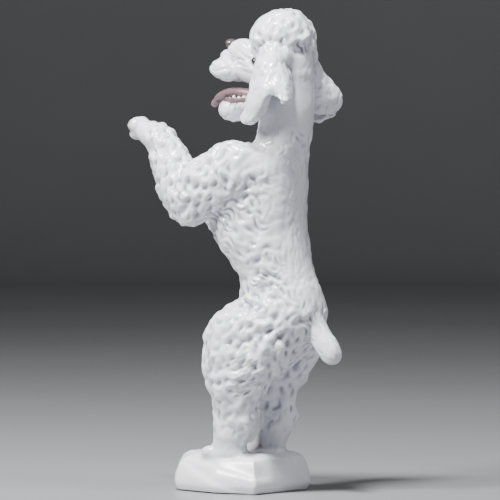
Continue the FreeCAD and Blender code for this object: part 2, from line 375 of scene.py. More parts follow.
def mirrored(centre, side):
    """The same place on one side of the dog, given the one on its left."""
    return (centre[0] * side,) + tuple(centre[1:])


def pair(centre, radii, pitch=0.0):
    """The same ball on both sides."""
    return [ellipsoid(mirrored(centre, side), radii, pitch) for side in (LEFT, RIGHT)]


def leg(side):
    """Thigh, hock and shank; the right shank stands further back."""
    rows = []
    for r in LEG:
        back = RIGHT_LEG_BACK if side == RIGHT and r[2] < LEG_SPLIT_Z else 0.0
        rows.append((r[0], r[1] + back) + tuple(r[2:]))
    rows += LEFT_SHANK if side == LEFT else RIGHT_SHANK
    return tube([mirrored(row, side) for row in rows])


def hind_place(side):
    """Middle of a hind paw on the rock."""
    back = RIGHT_LEG_BACK + PAW_BACK if side == RIGHT else 0.0
    x, y, z = mirrored(HIND_PAW, side)
    return x, y + back, z


def hind_paw(side):
    """Paw with four knuckled toes, pressed on to the rock."""
    x, y, z = hind_place(side)
    parts = [ellipsoid((x, y, z), HIND_PAW_RADII)]
    for toe in TOES:
        forward = -HIND_TOE_REACH + HIND_TOE_LAG * abs(toe)
        place = (x + toe * HIND_TOE_GAP, y + forward, z + HIND_TOE_UP)
        parts.append(ellipsoid(place, HIND_TOE_RADII, 0, 20, 12))
    return parts


def paw_tip(rows):
    """End of a raised paw, with the directions up off its back and out along it."""
    lean = math.radians(rows[-1][5])
    up = np.array([0, math.cos(lean), math.sin(lean)])
    out = np.array([0, -math.sin(lean), math.cos(lean)])
    return np.array(rows[-1][:3]), up, out


def fore_paw(rows):
    """Palm, pads and four toes at the end of a raised paw."""
    tip, up, out = paw_tip(rows)
    pitch = 90 - rows[-1][5]
    pads = tip - up * PADS_DOWN + out * PADS_REACH
    parts = [ellipsoid(tip, PALM_RADII, pitch), ellipsoid(pads, PADS_RADII, pitch)]
    for toe in TOES:
        rise = FORE_TOE_UP - FORE_TOE_DROP * abs(toe)
        reach = FORE_TOE_REACH - FORE_TOE_LAG * abs(toe)
        middle = tip + (toe * FORE_TOE_GAP, 0, 0) + up * rise + out * reach
        parts.append(ellipsoid(middle, FORE_TOE_RADII, pitch, 32, 18))
    return parts


def ear(ribs, side):
    """Thick cupped leaf through the ribs, open towards the neck."""
    down = [smooth_path(rib[1], 7) for rib in ribs]
    grid = np.array([smooth_path([d[i] for d in down], 6) for i in range(len(down[0]))])
    thick = smooth_path([(rib[0],) for rib in ribs], 6)[:, 0]
    along = np.gradient(grid, axis=0)
    across = np.gradient(grid, axis=1)
    normal = np.cross(along, across)
    normal /= np.linalg.norm(normal, axis=2)[:, :, None]
    if normal[len(grid) // 2, len(thick) // 2, 0] < 0:
        normal = -normal
    outer = grid + normal * thick[None, :, None] / 2
    inner = grid - normal * thick[None, :, None] / 2
    rows, columns = grid.shape[:2]
    points = np.vstack([outer.reshape(-1, 3), inner.reshape(-1, 3)])
    points[:, 0] *= side
    return points, slab_faces(rows, columns)


def slab_faces(rows, columns):
    """Faces of two grids one above the other, joined round their rim."""
    half = rows * columns
    faces = []
    for i in range(rows - 1):
        for j in range(columns - 1):
            p = i * columns + j
            faces.append((p, p + 1, p + columns + 1, p + columns))
            faces.append((half + p, half + p + columns, half + p + columns + 1, half + p + 1))
    grid = np.arange(half).reshape(rows, columns)
    rim = [*grid[0], *grid[1:, -1], *grid[-1, -2::-1], *grid[-2:0:-1, 0]]
    for a, b in zip(rim, rim[1:] + rim[:1]):
        faces.append((a, half + a, half + b, b))
    return faces


def band_faces(around, count, first=0):
    """Faces between rings of points that follow one another, from the first point on."""
    faces = []
    for start in range(first, first + (count - 1) * around, around):
        for j in range(around):
            k = (j + 1) % around
            faces.append((start + j, start + around + j, start + around + k, start + k))
    return faces


def plinth():
    """Faceted rock with a flat underside."""
    rings = []
    corners = np.array(PLINTH_CORNERS, float)
    for level, inset in PLINTH_LEVELS:
        keep = 1 - inset / np.linalg.norm(corners, axis=1)[:, None]
        ring = corners * keep
        rings.append(np.column_stack([ring, np.full(len(ring), level)]))
    points = np.vstack(rings + [[[0, 0, PLINTH_LEVELS[-1][0] + PLINTH_CROWN]]])
    n = len(corners)
    faces = [tuple(range(n))] + band_faces(n, len(rings))
    top = (len(rings) - 1) * n
    for j in range(n):
        faces.append((top + j, len(points) - 1, top + (j + 1) % n))
    return points, faces


# ---------------- mesh handling
def make_object(name, points, faces):
    mesh = bpy.data.meshes.new(name)
    mesh.from_pydata([tuple(p) for p in points], [], [tuple(int(i) for i in f) for f in faces])
    mesh.validate()
    obj = bpy.data.objects.new(name, mesh)
    bpy.context.scene.collection.objects.link(obj)
    return obj


def smooth_shaded(mesh):
    mesh.polygons.foreach_set("use_smooth", [True] * len(mesh.polygons))


def mesh_arrays(mesh):
    """Points and four-sided faces of a remeshed skin."""
    points = np.empty(len(mesh.vertices) * 3)
    mesh.vertices.foreach_get("co", points)
    loops = np.empty(len(mesh.loops), int)
    mesh.loops.foreach_get("vertex_index", loops)
    return points.reshape(-1, 3), loops.reshape(-1, 4)


def merged(voxel, *parts):
    """One closed skin round all the parts, as points and four-sided faces."""
    points, faces, start = [], [], 0
    for p, f in parts:
        points.append(p)
        faces += [tuple(i + start for i in face) for face in f]
        start += len(p)
    obj = make_object("merging", np.vstack(points), faces)
    remesh = obj.modifiers.new("skin", "REMESH")
    remesh.mode = "VOXEL"
    remesh.voxel_size = voxel
    depsgraph = bpy.context.evaluated_depsgraph_get()
    mesh = bpy.data.meshes.new_from_object(obj.evaluated_get(depsgraph))
    skin = mesh_arrays(mesh)
    bpy.data.objects.remove(obj, do_unlink=True)
    bpy.data.meshes.remove(mesh)
    return skin


def side_pairs(quads):
    """Both ends of each side of each face."""
    return np.concatenate([quads[:, [0, 1]], quads[:, [1, 2]], quads[:, [2, 3]], quads[:, [3, 0]]])


def edges_of(quads):
    return np.unique(np.sort(side_pairs(quads), axis=1), axis=0)


def neighbour_mean(values, edges, count):
    """Mean of each point's neighbours."""
    a, b = edges[:, 0], edges[:, 1]
    degree = np.bincount(a, minlength=count) + np.bincount(b, minlength=count)
    flat = values.reshape(count, -1)
    out = np.empty_like(flat)
    for k in range(flat.shape[1]):
        total = np.bincount(a, weights=flat[b, k], minlength=count)
        total += np.bincount(b, weights=flat[a, k], minlength=count)
        out[:, k] = total / np.maximum(degree, 1)
    return out.reshape(values.shape)


def spread_out(values, edges, rounds):
    """Values evened out over the skin."""
    for _ in range(rounds):
        values = neighbour_mean(values, edges, len(values))
    return values


def relaxed(points, quads, rounds, keep_size=True):
    """Smooths the skin; with keep_size each pull in is followed by a push out."""
    edges = edges_of(quads)
    for _ in range(rounds):
        points = points + PULL_IN * (neighbour_mean(points, edges, len(points)) - points)
        if keep_size:
            points = points - PUSH_OUT * (neighbour_mean(points, edges, len(points)) - points)
    return points


def softened(voxel, rounds, forms, keep_size=True):
    """Forms merged into one closed skin, which is then smoothed."""
    points, quads = merged(voxel, *forms)
    return relaxed(points, quads, rounds, keep_size), quads


def normals_of(points, quads):
    diagonal_a = points[quads[:, 2]] - points[quads[:, 0]]
    diagonal_b = points[quads[:, 3]] - points[quads[:, 1]]
    face = np.cross(diagonal_a, diagonal_b)
    out = np.zeros_like(points)
    for k in range(3):
        for corner in range(4):
            out[:, k] += np.bincount(quads[:, corner], weights=face[:, k], minlength=len(points))
    return out / np.maximum(np.linalg.norm(out, axis=1), 1e-9)[:, None]


def named_parts():
    """Every body form, with the node that it belongs to."""
    return {
        "plinth": [plinth()],
        "torso": [tube(TORSO)],
        "hips": [tube(RUMP)],
        "neck": [tube(NECK)],
        "tail": [tube(TAIL, around=32, bulge=1.0)],
        "left_upper_arm": [tube(LEFT_ARM)],
        "right_upper_arm": [tube(RIGHT_ARM)],
        "left_forearm": [tube(LEFT_FOREARM)],
        "right_forearm": [tube(RIGHT_FOREARM)],
        "left_hind_leg": [leg(LEFT)],
        "right_hind_leg": [leg(RIGHT)],
        "left_hind_paw": hind_paw(LEFT),
        "right_hind_paw": hind_paw(RIGHT),
        "skull": [ellipsoid(SKULL, SKULL_RADII)] + pair(CHEEK, CHEEK_RADII) + pair(EAR_ROOT, EAR_ROOT_RADII),
        "topknot": [ellipsoid(TOPKNOT, TOPKNOT_RADII)],
        "left_ear": [ear(LEFT_EAR, LEFT)],
        "right_ear": [ear(RIGHT_EAR, RIGHT)],
        "muzzle": [tube(MUZZLE, bulge=0.5), ellipsoid(LIP, LIP_RADII, FACE_PITCH),
                   ellipsoid(SNOUT, SNOUT_RADII, SNOUT_PITCH)]
        + pair(MOUSTACHE, MOUSTACHE_RADII, MOUSTACHE_PITCH),
        "lower_jaw": [tube(JAW, bulge=0.6), ellipsoid(BEARD, BEARD_RADII)],
    }


# Nodes that are softened apart from the body, and those of the head.
APART = ("topknot", "left_ear", "right_ear", "muzzle", "lower_jaw")
HEAD = ("muzzle", "lower_jaw", "skull")
# How many rounds of smoothing each of them gets.
BODY_ROUNDS, HEAD_ROUNDS, ROCK_ROUNDS, TOE_ROUNDS, EAR_ROUNDS, SKIN_ROUNDS = 10, 6, 34, 4, 12, 4


def whole_skin(parts):
    """Each part of the dog merged and softened apart, then all made one fine skin."""
    trunk = [form for node in parts if node not in APART for form in parts[node]]
    face = [form for node in HEAD for form in parts[node]]
    paws = fore_paw(LEFT_FOREARM) + fore_paw(RIGHT_FOREARM) + hind_paw(LEFT) + hind_paw(RIGHT)
    body = softened(COARSE_VOXEL, BODY_ROUNDS, trunk, keep_size=False)
    head = softened(HEAD_VOXEL, HEAD_ROUNDS, face)
    rock = softened(HEAD_VOXEL, ROCK_ROUNDS, parts["plinth"])
    toes = softened(HEAD_VOXEL, TOE_ROUNDS, paws)
    ears = softened(HEAD_VOXEL, EAR_ROUNDS, parts["left_ear"] + parts["right_ear"])
    return softened(FINE_VOXEL, SKIN_ROUNDS, [body, head, rock, toes, ears] + parts["topknot"])


# ---------------- sculpted coat
def smoothstep(x, low, high):
    t = np.clip((x - low) / (high - low), 0, 1)
    return t * t * (3 - 2 * t)


def waves(points, size, count=26):
    """Smooth random field, about one wave to the size."""
    heading = random.normal(size=(count, 3))
    heading /= np.linalg.norm(heading, axis=1)[:, None]
    pace = 2 * math.pi / (size * random.uniform(0.7, 1.5, count))
    phase = random.uniform(0, 2 * math.pi, count)
    total = np.zeros(len(points))
    for h, p, f in zip(heading, pace, phase):
        total += np.cos(points @ h * p + f)
    return total / math.sqrt(count / 2)


def tree_of(points):
    """A search tree over the points."""
    tree = kdtree.KDTree(len(points))
    for i, p in enumerate(points):
        tree.insert(p, i)
    tree.balance()
    return tree


def wave_sum(points, *layers):
    """Waves of several heights and sizes, added up."""
    return sum(height * waves(points, size) for height, size in layers)


def labels_of(points, parts):
    """The node whose form lies nearest to each point of the skin."""
    names = list(parts)
    places, owner = [], []
    for i, name in enumerate(names):
        forms = [merged(COARSE_VOXEL, *parts[name])] if name == "plinth" else parts[name]
        for form_points, _ in forms:
            places.append(form_points)
            owner += [i] * len(form_points)
    tree = tree_of(np.vstack(places))
    return names, np.array([owner[tree.find(p)[1]] for p in points])


def both(name, value):
    """The same row of a table for the left node and the right one."""
    return {"left_" + name: value, "right_" + name: value}


# Depth of the modelled coat, in mm, on each form.
COAT_DEPTH = {
    "torso": 0.95, "hips": 1.1, "tail": 0.3, **both("upper_arm", 1.15), **both("forearm", 1.15),
    **both("hind_leg", 1.25), "topknot": 1.15, **both("ear", 0.4), "neck": 0.2, "lower_jaw": 0.15,
}
# Depth of the long strands of hair, in mm, their width, and the way that they lie.
STRANDS = {
    **both("ear", (0.34, 4.4, (0, -0.35, -1.0))),
    "neck": (0.16, 6.0, (0, 0, 1.0)),
    "muzzle": (0.5, 3.6, (0.25, 0.9, -0.2)),
    "lower_jaw": (0.55, 3.4, (0, 0.2, 1.0)),
    "skull": (0.22, 4.0, (0.2, 0.3, -1.0)),
    **both("hind_leg", (0.12, 4.2, (0, 0.15, 1.0))),
    "torso": (0.16, 3.4, (0, 0.3, 1.0)),
    "hips": (0.1, 4.0, (0, 0.6, 0.8)),
    "tail": (0.18, 4.5, (0, 0.5, -0.8)),
    "topknot": (0.15, 3.6, (0, 0, 1.0)),
}
# The coat fades between these values: where the skin faces backwards, up the back, up and
# behind the nape, in front of a wrist, up the shank, down the throat and up the topknot.
BACK_FACING = (0.35, 0.85)
BACK_HEIGHT = (90, 104)
NAPE_HEIGHT = (170, 176)
NAPE_BEHIND = (12, 24)
WRIST_FADE = (-4, 3)
SHANK_FADE = (25, 42)
THROAT_FADE = (200, 188)
CROWN_FADE = (240, 252)
# The share of its coat that the shaved back loses, and the top of the topknot; the least coat of
# the shank and the throat, with what the fade adds; and the coat too thin for any stroke.
BARE_BACK, CROWN_LOSS = 0.82, 0.3
SHANK_COAT, THROAT_COAT = (0.12, 0.88), (0.6, 2.6)
LEAST_COAT = 0.03
FADE_ROUNDS = 14


def coat_mask(points, normals, names, labels, edges):
    """How deep the coat is cut at each point: none on the shaved parts."""
    def on(*nodes):
        return np.isin(labels, [names.index(node) for node in nodes])

    _, y, z = points.T
    depth = np.array([COAT_DEPTH.get(n, 0.0) for n in names])[labels]
    back = smoothstep(normals[:, 1], *BACK_FACING) * smoothstep(z, *BACK_HEIGHT)
    nape = smoothstep(z, *NAPE_HEIGHT) * smoothstep(y, *NAPE_BEHIND)
    trunk = on("torso", "hips", "left_upper_arm", "right_upper_arm")
    depth[trunk] *= (1 - BARE_BACK * np.maximum(back, nape))[trunk]
    for name, rows in (("left_forearm", LEFT_FOREARM), ("right_forearm", RIGHT_FOREARM)):
        wrist = rows[-3][1]
        mine = on(name)
        depth[mine] *= smoothstep(y[mine], wrist + WRIST_FADE[0], wrist + WRIST_FADE[1])
    shank = on("left_hind_leg", "right_hind_leg")
    depth[shank] *= SHANK_COAT[0] + SHANK_COAT[1] * smoothstep(z[shank], *SHANK_FADE)
    throat = on("neck")
    depth[throat] *= THROAT_COAT[0] + THROAT_COAT[1] * smoothstep(z[throat], *THROAT_FADE)
    crown = on("topknot")
    depth[crown] *= 1 - CROWN_LOSS * smoothstep(z[crown], *CROWN_FADE)
    return spread_out(depth, edges, FADE_ROUNDS)


MOST_TRIED = 60000


def spread_points(points, weight, spacing):
    """Indices of skin points at least a spacing apart, where the weight is not zero."""
    order = random.permutation(np.nonzero(weight > 0)[0])[:MOST_TRIED]
    cells, kept = {}, []
    for i in order:
        p = points[i]
        cell = tuple((p // spacing).astype(int))
        near = [q for dx in (-1, 0, 1) for dy in (-1, 0, 1) for dz in (-1, 0, 1)
                for q in cells.get((cell[0] + dx, cell[1] + dy, cell[2] + dz), ())]
        if near and np.min(np.sum((points[near] - p) ** 2, axis=1)) < spacing ** 2:
            continue
        cells.setdefault(cell, []).append(i)
        kept.append(i)
    return kept


def gouge(a, b, size, bend):
    """A teardrop cut, deepest near one end, with a soft raised lip beside it."""
    curve = b - bend * a ** 2 / size
    width = 0.36 * size * (1.15 - 0.35 * np.clip(a / size, -1, 1))
    cut = np.exp(-((a + 0.15 * size) / (0.85 * size)) ** 2 - (curve / width) ** 2)
    lip = np.exp(-(a / (1.1 * size)) ** 2 - ((curve + 0.85 * size) / (0.42 * size)) ** 2)
    return 0.3 * lip - cut


def lock(a, b, size, bend):
    """A horseshoe of hair with a deep pit inside it."""
    r, turn = np.hypot(a, b), np.arctan2(b, a * np.sign(bend + 1e-6))
    open_side = smoothstep(np.cos(turn), -0.75, -0.1)
    ridge = np.exp(-((r - 0.8 * size) / (0.33 * size)) ** 2) * open_side
    pit = np.exp(-((a - 0.1 * size) ** 2 + b ** 2) / (0.42 * size) ** 2)
    moat = np.exp(-((r - 1.45 * size) / (0.28 * size)) ** 2) * open_side
    return 0.75 * ridge - 0.9 * pit - 0.45 * moat


def comb(a, b, size, bend):
    """Two or three wavy strands lying side by side."""
    curve = b - bend * a ** 2 / size + 0.25 * size * np.sin(1.6 * a / size)
    fade = np.exp(-(a / (1.25 * size)) ** 2 - (b / (0.85 * size)) ** 2)
    return 0.9 * fade * np.cos(2 * math.pi * curve / (1.15 * size))


# Form: spacing, size, spread of size, strokes, lie of the hair.
HAIR = {
    "torso": (5.8, 3.0, 0.6, (gouge, gouge, comb), (0, 0.9, -0.45)),
    "hips": (5.6, 2.9, 0.5, (gouge,), (0, 0.75, 0.65)),
    **both("upper_arm", (5.4, 2.9, 0.5, (gouge,), (0, 0.55, 0.83))),
    **both("forearm", (5.2, 2.6, 0.5, (gouge,), (0, 0.45, 0.9))),
    **both("hind_leg", (6.0, 3.2, 0.6, (gouge,), (0, 0.45, 0.85))),
    "topknot": (5.6, 2.9, 0.6, (gouge,), (0, 0.4, 0.9)),
    "tail": (5.6, 2.6, 0.5, (comb, gouge), (0, 0.5, -0.8)),
    "neck": (7.0, 2.4, 0.6, (comb,), (0, 0, 1.0)),
    **both("ear", (5.4, 2.8, 0.6, (gouge,), (0, -0.35, -1.0))),
}
# Patches that the potter worked harder: centre, radius, stroke, spacing, size, lie, strength;
# then how much their strokes vary in size, and the share of the coat's drift that they follow.
PATCHES = [
    ((24, 20, 161), 8, gouge, 4.8, 2.6, (0, 0.8, 0.6), 0.5),
    ((15.5, 21, 160), 3, lock, 7.0, 3.0, (0, 0.7, 0.7), 1.0),
    ((12.5, 33, 160), 4, lock, 6.0, 2.8, (0, 0.7, 0.7), 0.8),
    ((7, 39, 159.5), 3, lock, 7.0, 2.6, (0, 0.7, 0.7), 0.8),
    ((20, 30, 120), 9, gouge, 6.0, 3.2, (0, 0.75, 0.65), 1.0),
    ((27, 20, 92), 13, gouge, 6.0, 3.2, (0, 0.9, 0.5), 0.5),
    ((26, 20, 63), 11, comb, 5.4, 2.4, (0, 0.6, 0.7), 0.35),
    ((6, 40, 100), 9, gouge, 4.8, 2.4, (0, 0.6, 0.7), 0.6),
    ((24, 14, 35), 4, gouge, 6.0, 3.6, (0, 1.0, 0.3), 0.8),
    ((14, 34, 234), 13, gouge, 5.0, 2.8, (0.2, -0.2, 1.0), 0.35),
    ((14, 40, 195), 9, comb, 4.0, 1.8, (0, 0.3, 1.0), 0.3),
]
PATCH_SPREAD = 0.4
PATCH_TURN = 0.5
# How the lie of the hair drifts over the dog, in radians, and over what distance.
DRIFT = 0.35
DRIFT_SIZE = 34.0
# Each stroke: how far it reaches, in its own sizes, how much it wanders in angle (a lock more),
# and between what values its size, bend and force are drawn.
STROKE_REACH = 1.9
STROKE_WANDER, LOCK_WANDER = 0.25, 1.6
STROKE_SPREAD, STROKE_BEND, STROKE_FORCE = (-0.5, 0.6), (0.1, 0.55), (0.65, 1.2)


def stamp(height, points, normals, tree, seeds, kinds, size, spread, flow, turns, strength=1.0):
    """Adds one stroke of hair at each seed."""
    flow = np.array(flow) / np.linalg.norm(flow)
    for i in seeds:
        kind = kinds[random.integers(len(kinds))]
        this = size * (1 + spread * random.uniform(*STROKE_SPREAD))
        near = np.array([f[1] for f in tree.find_range(points[i], this * STROKE_REACH)])
        n = normals[i]
        near = near[normals[near] @ n > 0.2]
        along = flow - n * (flow @ n)
        along = along / max(np.linalg.norm(along), 0.2)
        turn = turns[i] + random.normal(0, STROKE_WANDER)
        if kind is lock:
            turn += random.uniform(-LOCK_WANDER, LOCK_WANDER)
        t = math.cos(turn) * along + math.sin(turn) * np.cross(n, along)
        offset = points[near] - points[i]
        bend = random.uniform(*STROKE_BEND) * random.choice([-1, 1])
        force = strength * random.uniform(*STROKE_FORCE)
        height[near] += force * kind(offset @ t, offset @ np.cross(n, t), this, bend)


def strokes(points, normals, names, labels, depth):
    """Height of the modelled hair, before it is scaled by the depth of the coat."""
    height = np.zeros(len(points))
    tree = tree_of(points)
    turns = waves(points, DRIFT_SIZE) * DRIFT
    coated = depth > LEAST_COAT
    for name, (spacing, size, spread, kinds, flow) in HAIR.items():
        seeds = spread_points(points, (labels == names.index(name)) & coated, spacing)
        stamp(height, points, normals, tree, seeds, kinds, size, spread, flow, turns)
    turns = turns * PATCH_TURN
    for centre, radius, kind, spacing, size, flow, strength in PATCHES:
        gap = np.linalg.norm(points - centre, axis=1)
        seeds = spread_points(points, (gap < radius) & coated, spacing)
        stamp(height, points, normals, tree, seeds, [kind], size, PATCH_SPREAD, flow, turns, strength)
    return height


def strand_field(points, flow, width, count=24):
    """Random field drawn out along the lie of the hair."""
    flow = np.array(flow) / np.linalg.norm(flow)
    side = np.cross(flow, (1.0, 0.3, 0.1))
    side /= np.linalg.norm(side)
    other = np.cross(flow, side)
    total = np.zeros(len(points))
    for _ in range(count):
        angle, phase = random.uniform(0, 2 * math.pi, 2)
        pace = 2 * math.pi / (width * random.uniform(0.75, 1.5))
        heading = math.cos(angle) * side + math.sin(angle) * other + flow * random.normal(0, 0.16)
        total += np.cos(points @ heading * pace + phase)
    return total / math.sqrt(count / 2)


def weight_of(name, names, labels, edges, rounds=8):
    """One on a node's own skin, fading to nothing across its borders."""
    return spread_out((labels == names.index(name)).astype(float), edges, rounds)


# Clumps of strands: how much wider than a strand, and their highest and middle values.
CLUMP_WIDTH, CLUMP_TOP, CLUMP_MIDDLE = 1.9, 1.2, 0.6


def strands(points, names, labels, edges):
    """Height of the long hair: round clumps parted by sharp creases."""
    height = np.zeros(len(points))
    for name, (depth, width, flow) in STRANDS.items():
        weight = weight_of(name, names, labels, edges)
        mine = weight > 0
        field = np.abs(strand_field(points[mine], flow, width * CLUMP_WIDTH))
        height[mine] += weight[mine] * depth * (np.minimum(field, CLUMP_TOP) - CLUMP_MIDDLE)
    return height


def soft_limit(h, low, high):
    """Keeps crossing strokes from piling up."""
    return np.where(h > 0, high * np.tanh(h / high), low * np.tanh(h / low))


def bump_at(points, centre, radius):
    """A smooth bell round a point."""
    return np.exp(-np.sum((points - centre) ** 2, axis=1) / radius ** 2)


# Round each eye: height, offset from the eye and radius of the socket, the brow and the lid.
EYE_RELIEF = [(-1.5, (0, 0, 0), 3.6), (0.9, (0, 0.6, 4.4), 2.6), (0.5, (0, -0.5, -3.6), 2.2)]
# Creases of the lifted muzzle: their heights, depth and width, and the part of it that has them.
CREASES = (236.0, 233.5, 231.0, 228.5)
CREASE_DEPTH, CREASE_WIDTH, CREASE_WAVE = 0.6, 0.6, 1.2
CREASED = (0, 5.5, 138.0)
CREASED_RADIUS = 6.5
CREASED_SHAPE = (0.5, 1, 0.6)
# The split of the upper lip under the nose.
SPLIT_DEPTH, SPLIT_WIDTH = 0.9, 0.9
SPLIT_AHEAD, SPLIT_FOOT, SPLIT_TOP = (-6, -10), (214, 218), (235, 231)


def face_relief(points):
    """Eye sockets, lids, brows, creases of the lifted muzzle, and the scoops of the ears."""
    x, y, z = points.T
    rise = np.zeros(len(points))
    for side in (LEFT, RIGHT):
        for height, offset, radius in EYE_RELIEF:
            rise += height * bump_at(points, np.add(mirrored(EYE, side), offset), radius)
    near = bump_at(points * CREASED_SHAPE, CREASED, CREASED_RADIUS)
    for height in CREASES:
        line = z - height - CREASE_WAVE * np.sin(y * 0.5)
        rise -= CREASE_DEPTH * near * np.exp(-(line / CREASE_WIDTH) ** 2)
    for place, radius, depth in EAR_SCOOPS:
        rise -= depth * bump_at(points, place, radius)
    split = np.exp(-(x / SPLIT_WIDTH) ** 2) * smoothstep(y, *SPLIT_AHEAD)
    return rise - SPLIT_DEPTH * split * smoothstep(z, *SPLIT_FOOT) * smoothstep(z, *SPLIT_TOP)


def rock_relief(points):
    """Slanting ledges on the left of the rock, and a few soft hollows."""
    x, y, z = points.T
    rise = np.zeros(len(points))
    for height, slope, depth in LEDGES:
        rise += depth * np.tanh(-(z - height + slope * y) / LEDGE_SOFTNESS)
    return smoothstep(x, *LEDGED_SIDE) * rise + wave_sum(points, *ROCK_WAVES)


# Uneven layers of the coat, of the bare skin and of the rock: height and size of each.
COAT_WAVES = ((0.35, 13.0), (0.2, 6.5))
SKIN_WAVES = ((0.1, 16.0),)
ROCK_WAVES = ((0.12, 26.0), (0.012, 6.0))
# Limits of the cuts and of the ridges, and how much each stroke is softened.
CUT_LIMIT, RIDGE_LIMIT = 1.3, 0.75
SOFTENING = 0.4
# The skin near the ground stays flat up to the first height and is free from the second.
STANDING = (0.3, 1.5)


def sculpt(points, quads, parts):
    """Cuts the coat into the skin; returns its points, names, labels and groove depth."""
    edges = edges_of(quads)
    names, labels = labels_of(points, parts)
    normals = normals_of(points, quads)
    depth = coat_mask(points, normals, names, labels, edges)
    hair = soft_limit(strokes(points, normals, names, labels, depth), CUT_LIMIT, RIDGE_LIMIT)
    hair = (1 - SOFTENING) * hair + SOFTENING * neighbour_mean(hair, edges, len(hair))
    lumps = wave_sum(points, *COAT_WAVES)
    rise = depth * (hair + lumps) + strands(points, names, labels, edges)
    rise += face_relief(points) + wave_sum(points, *SKIN_WAVES)
    rock = weight_of("plinth", names, labels, edges)
    rise = rise * (1 - rock) + rock_relief(points) * rock
    standing = smoothstep(points[:, 2], *STANDING)
    points = points + normals * (rise * standing)[:, None]
    points[:, 2] = np.maximum(points[:, 2], 0.0)
    return points, names, labels, hollows(points, quads, edges)


# Depths between which the glaze pools and is darkened as painted shade in the cuts, in mm.
POOL_AND_SHADE_START, POOL_AND_SHADE_DEEPEST = 0.05, 1.2


def hollows(points, quads, edges):
    """How far each point lies below its surroundings, in mm: where the glaze pools and the painted shade of
    the cuts goes.
    """
    even = spread_out(points, edges, FADE_ROUNDS)
    below = np.sum((even - points) * normals_of(points, quads), axis=1)
    return np.clip(below + POOL_AND_SHADE_START, 0, POOL_AND_SHADE_DEEPEST)


# ---------------- pieces
def face_owners(labels, names, quads):
    """The node that each face of the skin belongs to."""
    pairs = side_pairs(quads)
    keys = np.sort(pairs, axis=1) @ np.array([len(labels), 1])
    order = np.argsort(keys, kind="stable")
    face = order % len(quads)
    twin = keys[order][:-1] == keys[order][1:]
    neighbours = np.column_stack([face[:-1][twin], face[1:][twin]])
    return tidy_labels(labels[quads[:, 0]], names, neighbours)


# Votes of a face for its own node, and the rounds that even the borders and clear the strays.
OWN_VOTES = 1.5
EVENING_ROUNDS = 10
STRAY_ROUNDS = 4


def votes_of(labels, names, edges, counted):
    """How many neighbours of each face belong to each node; only the counted faces vote."""
    votes = np.zeros((len(labels), len(names)))
    for a, b in ((0, 1), (1, 0)):
        good = counted[edges[:, b]]
        np.add.at(votes, (edges[good, a], labels[edges[good, b]]), 1)
    return votes


def stray_faces(labels, names, group):
    """Faces outside the largest patch of their node."""
    size = np.bincount(group, minlength=len(labels))
    stray = np.ones(len(labels), bool)
    for i in range(len(names)):
        mine = group[labels == i]
        if len(mine):
            stray[group == mine[size[mine].argmax()]] = False
    return stray


def tidy_labels(labels, names, edges):
    """Gives each stray island of a node to its neighbours, so each node is one patch."""
    every = np.ones(len(labels), bool)
    for _ in range(EVENING_ROUNDS):
        votes = votes_of(labels, names, edges, every)
        votes[np.arange(len(labels)), labels] += OWN_VOTES
        labels = votes.argmax(axis=1)
    for _ in range(STRAY_ROUNDS):
        group = patches(edges[labels[edges[:, 0]] == labels[edges[:, 1]]], len(labels))
        stray = stray_faces(labels, names, group)
        votes = votes_of(labels, names, edges, ~stray)
        known = stray & (votes.sum(axis=1) > 0)
        for g in np.unique(group[known]):
            labels[group == g] = votes[known & (group == g)].sum(axis=0).argmax()
    return labels


def patches(edges, count):
    """A number for each connected patch of points."""
    group = np.arange(count)
    while True:
        before = group.copy()
        low = np.minimum(group[edges[:, 0]], group[edges[:, 1]])
        np.minimum.at(group, edges[:, 0], low)
        np.minimum.at(group, edges[:, 1], low)
        group = group[group]
        if (group == before).all():
            return group


def to_frame(points):
    return points * UNIT + BASE


# The lip that closes a cut: how far below the skin it dips, and how far in it reaches.
CAP_SINK = 1.0
CAP_REACH = 0.12


def closing_faces(quads, points, normals):
    """Faces that close each cut of a piece: a lip that dips below the skin, then a fan."""
    pairs = side_pairs(quads)
    keys = np.sort(pairs, axis=1) @ np.array([len(points), 1])
    _, index, count = np.unique(keys, return_index=True, return_counts=True)
    rim = pairs[index[count == 1]]
    extra, faces = [np.zeros((0, 3))], []
    first = len(points)
    used, flat = np.unique(rim, return_inverse=True)
    flat = flat.reshape(-1, 2)
    group = patches(flat, len(used)) if len(rim) else used
    for g in np.unique(group):
        inside = group[flat[:, 0]] == g
        if inside.sum() < 3:
            continue
        loop = np.unique(rim[inside])
        middle = points[loop].mean(axis=0)
        lip = points[loop] + CAP_REACH * (middle - points[loop]) - CAP_SINK * normals[loop]
        below = {v: first + k for k, v in enumerate(loop)}
        hub = first + len(loop)
        extra += [lip, middle[None]]
        first = hub + 1
        for a, b in rim[inside]:
            faces.append((b, a, below[a], below[b]))
            faces.append((below[b], below[a], hub))
    return np.vstack(extra), faces


def skin_piece(name, points, quads, normals, marks):
    """One closed piece of the skin, with the shading of the whole so that no seam shows."""
    used = np.unique(quads)
    where = np.full(len(points), -1)
    where[used] = np.arange(len(used))
    quads = where[quads]
    caps, closing = closing_faces(quads, points[used], normals[used])
    own = np.vstack([points[used], caps])
    own_normals = np.vstack([normals[used], np.tile((0, 0, 1.0), (len(caps), 1))])
    obj = make_object(name, to_frame(own), [tuple(q) for q in quads] + closing)
    mesh = obj.data
    for mark, values in marks.items():
        layer = mesh.attributes.new(mark, "FLOAT", "POINT")
        layer.data.foreach_set("value", np.concatenate([values[used], np.zeros(len(caps))]))
    smooth_shaded(mesh)
    mesh.normals_split_custom_set_from_vertices([tuple(n) for n in own_normals])
    return obj


# ---------------- nose, tongue, teeth, eyes
def soft_form(name, forms, voxel, rounds=2):
    """A small smooth piece made of overlapping forms."""
    points, quads = softened(voxel, rounds, forms)
    return skin_piece(name, points, quads, normals_of(points, quads), {})


